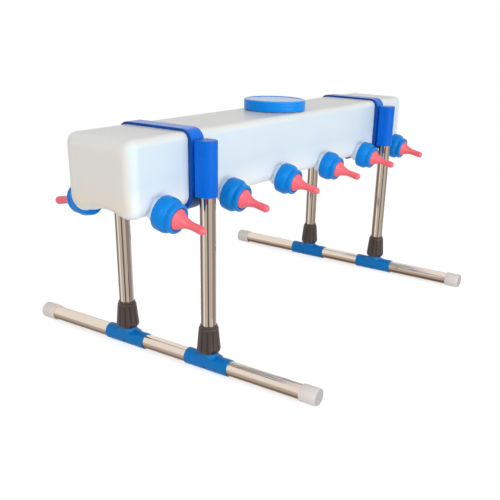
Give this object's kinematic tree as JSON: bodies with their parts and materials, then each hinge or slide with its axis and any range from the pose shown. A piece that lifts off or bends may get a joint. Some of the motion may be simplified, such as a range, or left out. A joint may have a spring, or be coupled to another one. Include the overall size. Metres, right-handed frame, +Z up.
{
  "type": "multi teat lamb feeder",
  "caption": "Free-standing lamb feeder: a long milk tank strapped into two telescopic tube leg frames, with screw-capped rubber teats along both lower edges and a screw lid.",
  "frame": {"origin": "on the ground, under the middle of the tank", "axes": "+X along the tank, +Y across it towards its back row of teats, +Z up"},
  "size_m": [0.924, 0.6, 0.407],
  "materials": {
    "tank_white": "translucent moulded polyethylene",
    "cap_blue": "glossy moulded plastic",
    "strap_blue": "smooth moulded plastic",
    "tee_blue": "satin moulded plastic",
    "teat_rubber": "soft satin rubber",
    "polished_tube": "polished stainless steel",
    "collar_plastic": "satin moulded plastic",
    "ferrule_plastic": "plain moulded plastic",
    "end_cap_white": "soft white plastic",
    "fastener_steel": "plated steel",
    "seal_rubber": "plain rubber"
  },
  "bodies": {
    "tank": {"tank_shell": "tank_white", "clamp_bolts": "fastener_steel", "strap_left": "strap_blue", "strap_right": "strap_blue", "leg_socket_left_front": "strap_blue", "leg_socket_left_back": "strap_blue", "leg_socket_right_front": "strap_blue", "leg_socket_right_back": "strap_blue", "leg_tube_left_front": "polished_tube", "leg_tube_left_back": "polished_tube", "leg_tube_right_front": "polished_tube", "leg_tube_right_back": "polished_tube", "leg_ferrule_left_front": "ferrule_plastic", "leg_ferrule_left_back": "ferrule_plastic", "leg_ferrule_right_front": "ferrule_plastic", "leg_ferrule_right_back": "ferrule_plastic", "front_teat_1": "teat_rubber", "front_teat_2": "teat_rubber", "front_teat_3": "teat_rubber", "front_teat_4": "teat_rubber", "front_teat_5": "teat_rubber", "front_teat_6": "teat_rubber", "back_teat_1": "teat_rubber", "back_teat_2": "teat_rubber", "back_teat_3": "teat_rubber", "back_teat_4": "teat_rubber", "back_teat_5": "teat_rubber", "back_teat_6": "teat_rubber"},
    "left_foot": {"foot_tube_left": "polished_tube", "foot_caps_left": "end_cap_white", "tee_screws_left": "fastener_steel", "foot_tee_left_front": "tee_blue", "inner_tube_left_front": "polished_tube", "foot_tee_left_back": "tee_blue", "inner_tube_left_back": "polished_tube"},
    "right_foot": {"foot_tube_right": "polished_tube", "foot_caps_right": "end_cap_white", "tee_screws_right": "fastener_steel", "foot_tee_right_front": "tee_blue", "inner_tube_right_front": "polished_tube", "foot_tee_right_back": "tee_blue", "inner_tube_right_back": "polished_tube"},
    "collar_left_front": {"lock_collar_left_front": "collar_plastic"},
    "collar_left_back": {"lock_collar_left_back": "collar_plastic"},
    "collar_right_front": {"lock_collar_right_front": "collar_plastic"},
    "collar_right_back": {"lock_collar_right_back": "collar_plastic"},
    "front_cap_1_body": {"front_cap_1": "cap_blue"},
    "front_cap_2_body": {"front_cap_2": "cap_blue"},
    "front_cap_3_body": {"front_cap_3": "cap_blue"},
    "front_cap_4_body": {"front_cap_4": "cap_blue"},
    "front_cap_5_body": {"front_cap_5": "cap_blue"},
    "front_cap_6_body": {"front_cap_6": "cap_blue"},
    "back_cap_1_body": {"back_cap_1": "cap_blue"},
    "back_cap_2_body": {"back_cap_2": "cap_blue"},
    "back_cap_3_body": {"back_cap_3": "cap_blue"},
    "back_cap_4_body": {"back_cap_4": "cap_blue"},
    "back_cap_5_body": {"back_cap_5": "cap_blue"},
    "back_cap_6_body": {"back_cap_6": "cap_blue"},
    "lid_seal": {"lid_gasket": "seal_rubber"},
    "lid": {"lid_cap": "cap_blue"}
  },
  "joints": [
    {"name": "left_leg_extension", "type": "slide", "parent": "tank", "child": "left_foot", "axis": [0, 0, -1], "range_m": [0, 0.15]},
    {"name": "right_leg_extension", "type": "slide", "parent": "tank", "child": "right_foot", "axis": [0, 0, -1], "range_m": [0, 0.15]},
    {"name": "collar_left_front_twist", "type": "hinge", "parent": "tank", "child": "collar_left_front", "pos_m": [-0.325, -0.0898, 0.058], "axis": [0, 0, 1], "range_deg": [0, 120]},
    {"name": "collar_left_back_twist", "type": "hinge", "parent": "tank", "child": "collar_left_back", "pos_m": [-0.325, 0.0898, 0.058], "axis": [0, 0, 1], "range_deg": [0, 120]},
    {"name": "collar_right_front_twist", "type": "hinge", "parent": "tank", "child": "collar_right_front", "pos_m": [0.325, -0.0898, 0.058], "axis": [0, 0, 1], "range_deg": [0, 120]},
    {"name": "collar_right_back_twist", "type": "hinge", "parent": "tank", "child": "collar_right_back", "pos_m": [0.325, 0.0898, 0.058], "axis": [0, 0, 1], "range_deg": [0, 120]},
    {"name": "front_cap_1_unscrew", "type": "hinge", "parent": "tank", "child": "front_cap_1_body", "pos_m": [-0.408, -0.065, 0.2835], "axis": [0, -0.9781, -0.2079], "range_deg": [0, 540]},
    {"name": "front_cap_2_unscrew", "type": "hinge", "parent": "tank", "child": "front_cap_2_body", "pos_m": [-0.2448, -0.065, 0.2835], "axis": [0, -0.9781, -0.2079], "range_deg": [0, 540]},
    {"name": "front_cap_3_unscrew", "type": "hinge", "parent": "tank", "child": "front_cap_3_body", "pos_m": [-0.0816, -0.065, 0.2835], "axis": [0, -0.9781, -0.2079], "range_deg": [0, 540]},
    {"name": "front_cap_4_unscrew", "type": "hinge", "parent": "tank", "child": "front_cap_4_body", "pos_m": [0.0816, -0.065, 0.2835], "axis": [0, -0.9781, -0.2079], "range_deg": [0, 540]},
    {"name": "front_cap_5_unscrew", "type": "hinge", "parent": "tank", "child": "front_cap_5_body", "pos_m": [0.2448, -0.065, 0.2835], "axis": [0, -0.9781, -0.2079], "range_deg": [0, 540]},
    {"name": "front_cap_6_unscrew", "type": "hinge", "parent": "tank", "child": "front_cap_6_body", "pos_m": [0.408, -0.065, 0.2835], "axis": [0, -0.9781, -0.2079], "range_deg": [0, 540]},
    {"name": "back_cap_1_unscrew", "type": "hinge", "parent": "tank", "child": "back_cap_1_body", "pos_m": [-0.408, 0.065, 0.2835], "axis": [0, 0.9781, -0.2079], "range_deg": [0, 540]},
    {"name": "back_cap_2_unscrew", "type": "hinge", "parent": "tank", "child": "back_cap_2_body", "pos_m": [-0.2448, 0.065, 0.2835], "axis": [0, 0.9781, -0.2079], "range_deg": [0, 540]},
    {"name": "back_cap_3_unscrew", "type": "hinge", "parent": "tank", "child": "back_cap_3_body", "pos_m": [-0.0816, 0.065, 0.2835], "axis": [0, 0.9781, -0.2079], "range_deg": [0, 540]},
    {"name": "back_cap_4_unscrew", "type": "hinge", "parent": "tank", "child": "back_cap_4_body", "pos_m": [0.0816, 0.065, 0.2835], "axis": [0, 0.9781, -0.2079], "range_deg": [0, 540]},
    {"name": "back_cap_5_unscrew", "type": "hinge", "parent": "tank", "child": "back_cap_5_body", "pos_m": [0.2448, 0.065, 0.2835], "axis": [0, 0.9781, -0.2079], "range_deg": [0, 540]},
    {"name": "back_cap_6_unscrew", "type": "hinge", "parent": "tank", "child": "back_cap_6_body", "pos_m": [0.408, 0.065, 0.2835], "axis": [0, 0.9781, -0.2079], "range_deg": [0, 540]},
    {"name": "lid_lift", "type": "slide", "parent": "tank", "child": "lid_seal", "axis": [0, 0, 1], "range_m": [0, 0.15]},
    {"name": "lid_unscrew", "type": "hinge", "parent": "lid_seal", "child": "lid", "pos_m": [0, 0, 0.4], "axis": [0, 0, 1], "range_deg": [0, 540]}
  ]
}
